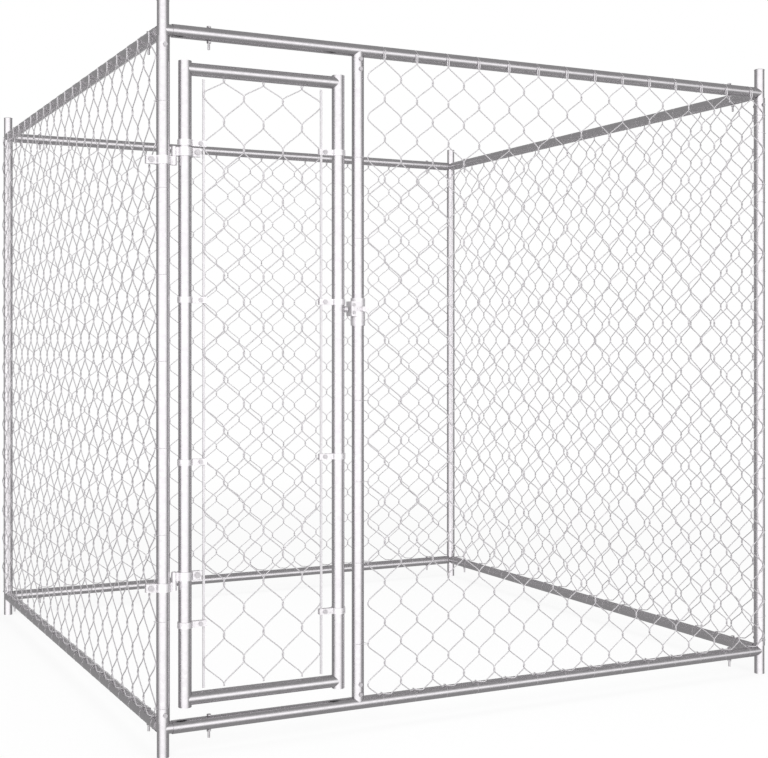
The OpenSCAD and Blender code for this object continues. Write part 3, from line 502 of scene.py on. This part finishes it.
def thumb_plate():
    """Round-ended plate behind the knob, which hides the slot of its stud however far out the bolt is."""
    case_front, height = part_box("latch_case")[0][1], middle("latch_bolt").z
    rim = []
    for end, first_angle in ((PLATE_RIGHT - PLATE_R, -90), (PLATE_LEFT + PLATE_R, 90)):
        for k in range(PLATE_STEPS + 1):
            angle = math.radians(first_angle + 180 * k / PLATE_STEPS)
            rim.append((JAMB + end + PLATE_R * math.cos(angle), height + PLATE_R * math.sin(angle)))
    n = len(rim)
    points = [(x, case_front - depth, z) for depth in (PLATE_GAP + PLATE_T, PLATE_GAP) for x, z in rim]
    faces = [tuple(range(n)), tuple(reversed(range(n, 2 * n)))]
    faces += [(i, n + i, n + (i + 1) % n, (i + 1) % n) for i in range(n)]
    mesh = bpy.data.meshes.new("thumb_plate")
    mesh.from_pydata(points, [], faces)
    mesh.materials.append(casting)
    plate = bpy.data.objects.new("thumb_plate", mesh)
    bpy.context.scene.collection.objects.link(plate)
    put_on(plate, "latch_bolt", "fitting")


thumb_plate()


# Studio: pale floor, white surround, soft light from the camera's side

# Heading of the camera, from +Y toward +X, and its place, fitted to the four posts in the photograph
YAW = math.radians(25.8814)
CAMERA_PLACE = (-1.93699, -4.08087, 1.01244)
# Frame of the photograph in pixels, with its focal length and the point straight ahead
PHOTO_W, PHOTO_H = 768, 758
FOCAL, AHEAD_X, AHEAD_Y = 1329.85, 358.59, 342.68
AHEAD = (math.sin(YAW), math.cos(YAW), 0.0)
BEHIND = (-AHEAD[0], -AHEAD[1], 0.0)
# What the metal mirrors: dim walls and two cards, each with its heading, the cosines from that heading at
# which it begins and is full, and its strength
WALL_GLOW, CARD_TAPER = 0.34, 1.2
CARDS = ((BEHIND, -0.15, 0.6, 1.25), (AHEAD, 0.82, 0.96, 0.8))
# Floor in metres: half its width, its depth below the feet, and the distances between which it turns into
# plain white, with the share of white that it has near the object
FLOOR_HALF, FLOOR_DROP = 16.0, 0.5 * MM
FLOOR_NEAR, FLOOR_FAR, FLOOR_WHITE = 1.2, 6.0, 0.88


def studio_floor():
    """Matt floor that is seen near white, with the object's soft shadow, and runs into the surround."""
    mesh = bpy.data.meshes.new("studio_floor")
    r, z = FLOOR_HALF, -FLOOR_DROP
    mesh.from_pydata([(-r, -r, z), (r, -r, z), (r, r, z), (-r, r, z)], [], [(0, 1, 2, 3)])
    floor = bpy.data.objects.new("studio_floor", mesh)
    bpy.context.scene.collection.objects.link(floor)
    material = bpy.data.materials.new("matt_white_floor")
    material.use_nodes = True
    tree = material.node_tree
    shader = tree.nodes["Principled BSDF"]
    shader.inputs["Base Color"].default_value = linear("#f7f7f7")
    shader.inputs["Roughness"].default_value = 0.9
    ray = add(tree, "ShaderNodeLightPath")
    place = add(tree, "ShaderNodeTexCoord")
    away = add(tree, "ShaderNodeVectorMath", {"operation": "LENGTH"}, {0: place.outputs["Object"]})
    # past the object the floor turns into plain white
    plain = add(tree, "ShaderNodeMapRange", {"interpolation_type": "SMOOTHSTEP"},
                {"Value": away.outputs["Value"], "From Min": FLOOR_NEAR, "From Max": FLOOR_FAR,
                 "To Min": FLOOR_WHITE, "To Max": 1.0})
    part = add(tree, "ShaderNodeMath", {"operation": "MULTIPLY"},
               {0: ray.outputs["Is Camera Ray"], 1: plain.outputs["Result"]})
    white = add(tree, "ShaderNodeEmission", None, {"Color": WHITE, "Strength": 1.0})
    both = add(tree, "ShaderNodeMixShader", None,
               {"Fac": part.outputs["Value"], 1: shader.outputs["BSDF"], 2: white.outputs["Emission"]})
    tree.links.new(both.outputs["Shader"], tree.nodes["Material Output"].inputs["Surface"])
    mesh.materials.append(material)
    # the metal mirrors the cards of the surround below eye level too, as a glossy sweep would show them
    floor.visible_glossy = False


def white_surround():
    """White where it is seen. The metal mirrors a bright card at eye level behind the camera, a narrow one
    opposite, and dimmer walls between, above and below them."""
    world = bpy.data.worlds.new("white_surround")
    bpy.context.scene.world = world
    world.use_nodes = True
    tree = world.node_tree
    lit = tree.nodes["Background"]
    lit.inputs["Color"].default_value = WHITE
    ray = add(tree, "ShaderNodeLightPath")
    way = add(tree, "ShaderNodeTexCoord").outputs["Generated"]
    height = add(tree, "ShaderNodeSeparateXYZ", None, {"Vector": way})
    slope = add(tree, "ShaderNodeMath", {"operation": "ABSOLUTE"}, {0: height.outputs["Z"]})
    # the cards narrow above and below eye level
    narrowed = add(tree, "ShaderNodeMath", {"operation": "MULTIPLY"},
                   {0: slope.outputs["Value"], 1: CARD_TAPER})
    glow = WALL_GLOW
    for heading, begin, full, strength in CARDS:
        facing = add(tree, "ShaderNodeVectorMath", {"operation": "DOT_PRODUCT"}, {0: way, 1: heading})
        inside = add(tree, "ShaderNodeMath", {"operation": "SUBTRACT"},
                     {0: facing.outputs["Value"], 1: narrowed.outputs["Value"]})
        card = add(tree, "ShaderNodeMapRange", {"interpolation_type": "SMOOTHSTEP"},
                   {"Value": inside.outputs["Value"], "From Min": begin, "From Max": full,
                    "To Max": strength})
        shining = add(tree, "ShaderNodeMath", {"operation": "ADD"}, {0: card.outputs["Result"], 1: glow})
        glow = shining.outputs["Value"]
    tree.links.new(glow, lit.inputs["Strength"])
    seen = add(tree, "ShaderNodeBackground", None, {"Color": WHITE, "Strength": 1.0})
    clear = add(tree, "ShaderNodeMath", {"operation": "MAXIMUM"},
                {0: ray.outputs["Is Camera Ray"], 1: ray.outputs["Is Transmission Ray"]})
    last = add(tree, "ShaderNodeMixShader", None,
               {"Fac": clear.outputs["Value"], 1: lit.outputs["Background"], 2: seen.outputs["Background"]})
    tree.links.new(last.outputs["Shader"], tree.nodes["World Output"].inputs["Surface"])


def soft_light(name, place, aim, size, power):
    """Square soft lamp at a place, turned to what it is aimed at."""
    lamp = bpy.data.lights.new(name, "AREA")
    lamp.size = size
    lamp.energy = power
    holder = bpy.data.objects.new(name, lamp)
    # it lights the floor; the metal mirrors the cards of the surround
    holder.visible_glossy = False
    bpy.context.scene.collection.objects.link(holder)
    holder.location = place
    holder.rotation_euler = (Vector(aim) - Vector(place)).to_track_quat("-Z", "Y").to_euler()


def camera_as_photographed():
    """Level camera with a shifted lens, as in the photograph."""
    lens = bpy.data.cameras.new("camera")
    lens.sensor_width = 36.0
    lens.lens = lens.sensor_width * FOCAL / PHOTO_W
    lens.shift_x = (PHOTO_W / 2 - AHEAD_X) / PHOTO_W
    lens.shift_y = (AHEAD_Y - PHOTO_H / 2) / PHOTO_W
    lens.clip_end = 200
    holder = bpy.data.objects.new("camera", lens)
    bpy.context.scene.collection.objects.link(holder)
    holder.location = CAMERA_PLACE
    holder.rotation_euler = (math.radians(90), 0, -YAW)
    bpy.context.scene.camera = holder


studio_floor()
white_surround()
soft_light("key", place=(-3.2, -4.5, 3.6), aim=(0, 0, 0.8), size=2.5, power=160)
soft_light("top", place=(0.5, -0.5, 5.0), aim=(0, 0, 0), size=3.5, power=140)
camera_as_photographed()

bpy.context.scene.view_settings.view_transform = "Standard"
